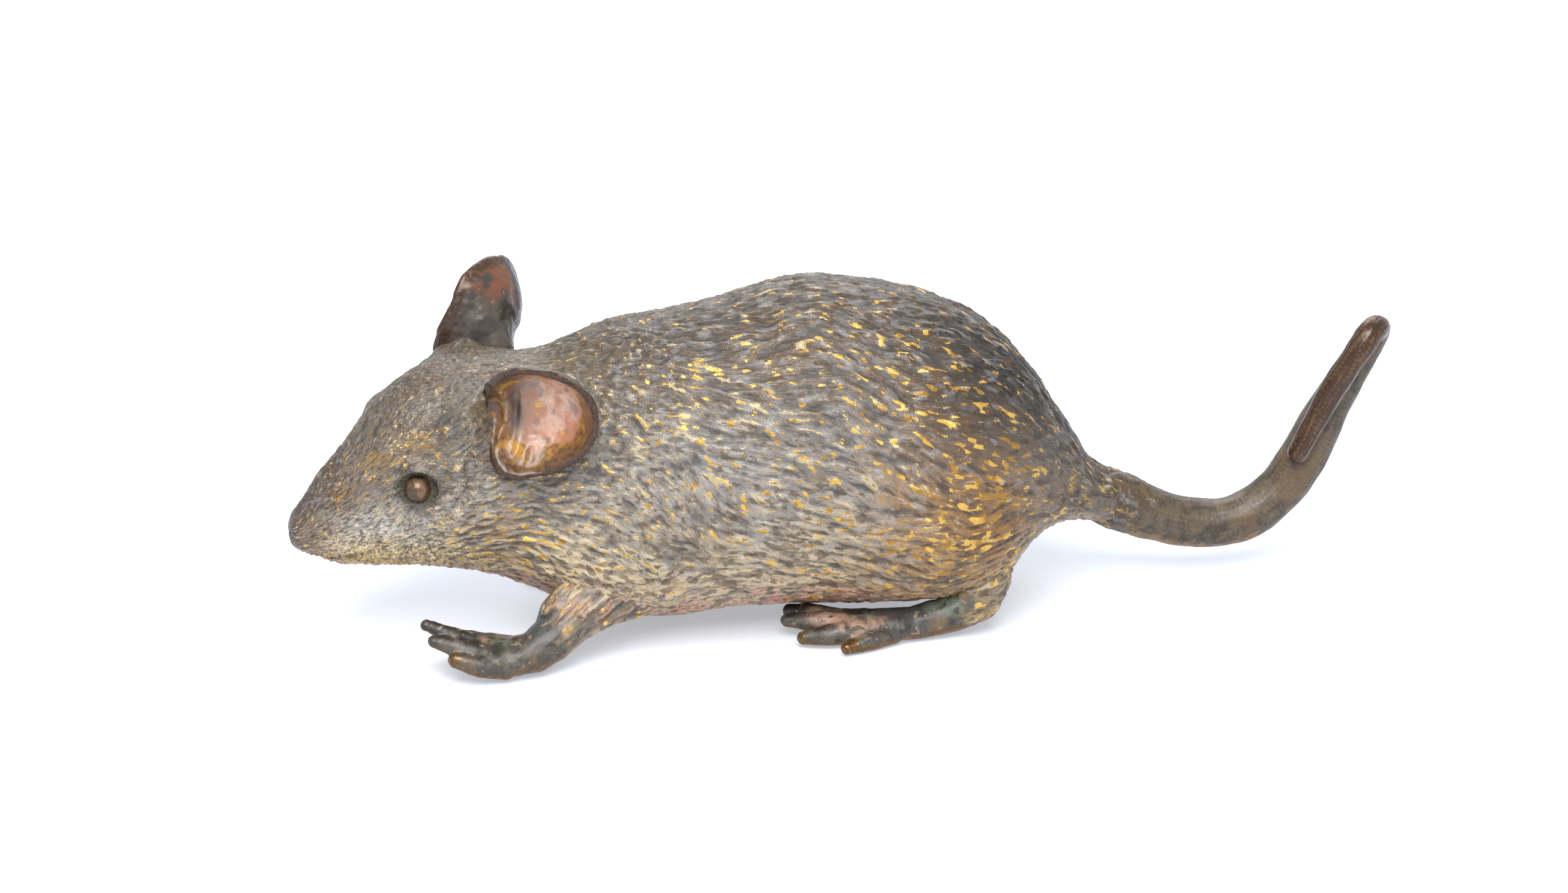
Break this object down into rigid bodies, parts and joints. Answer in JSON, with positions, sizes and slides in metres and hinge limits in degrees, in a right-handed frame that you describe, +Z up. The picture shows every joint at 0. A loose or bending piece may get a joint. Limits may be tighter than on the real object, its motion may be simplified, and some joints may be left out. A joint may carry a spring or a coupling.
{
  "type": "mouse figurine",
  "caption": "Life-size walking mouse in cold-painted bronze with chased fur, upright ears and a folded-back tail, standing on its own paws.",
  "frame": {"origin": "middle of the figure's footprint, on the surface that the paws stand on", "axes": "+X from nose to tail, -Y to the mouse's left, +Z up"},
  "size_m": [0.107, 0.0324, 0.0351],
  "materials": {
    "painted_bronze_fur": "cold-painted bronze, chased fur, satin, worn on the ridges",
    "painted_ear": "cold-painted bronze, pink inside, rubbed bare at the rim",
    "eye_bronze": "dark polished bronze",
    "painted_paw": "cold-painted bronze with bare toe tips",
    "painted_tail": "brown patina with rubbed bronze",
    "bare_bronze": "filed bronze, dulled",
    "bronze_wire": "drawn bronze wire"
  },
  "bodies": {
    "root": {"trunk": "painted_bronze_fur", "head": "painted_bronze_fur", "left_ear": "painted_ear", "right_ear": "painted_ear", "left_eye": "eye_bronze", "right_eye": "eye_bronze", "left_foreleg": "painted_paw", "right_foreleg": "painted_paw", "left_hind_foot": "painted_paw", "right_hind_foot": "painted_paw", "tail": "painted_tail", "belly_plug": "bare_bronze", "core_pins": "bare_bronze", "left_foreleg_dowel": "bronze_wire", "right_foreleg_dowel": "bronze_wire", "left_hind_dowel": "bronze_wire", "right_hind_dowel": "bronze_wire"}
  },
  "joints": []
}
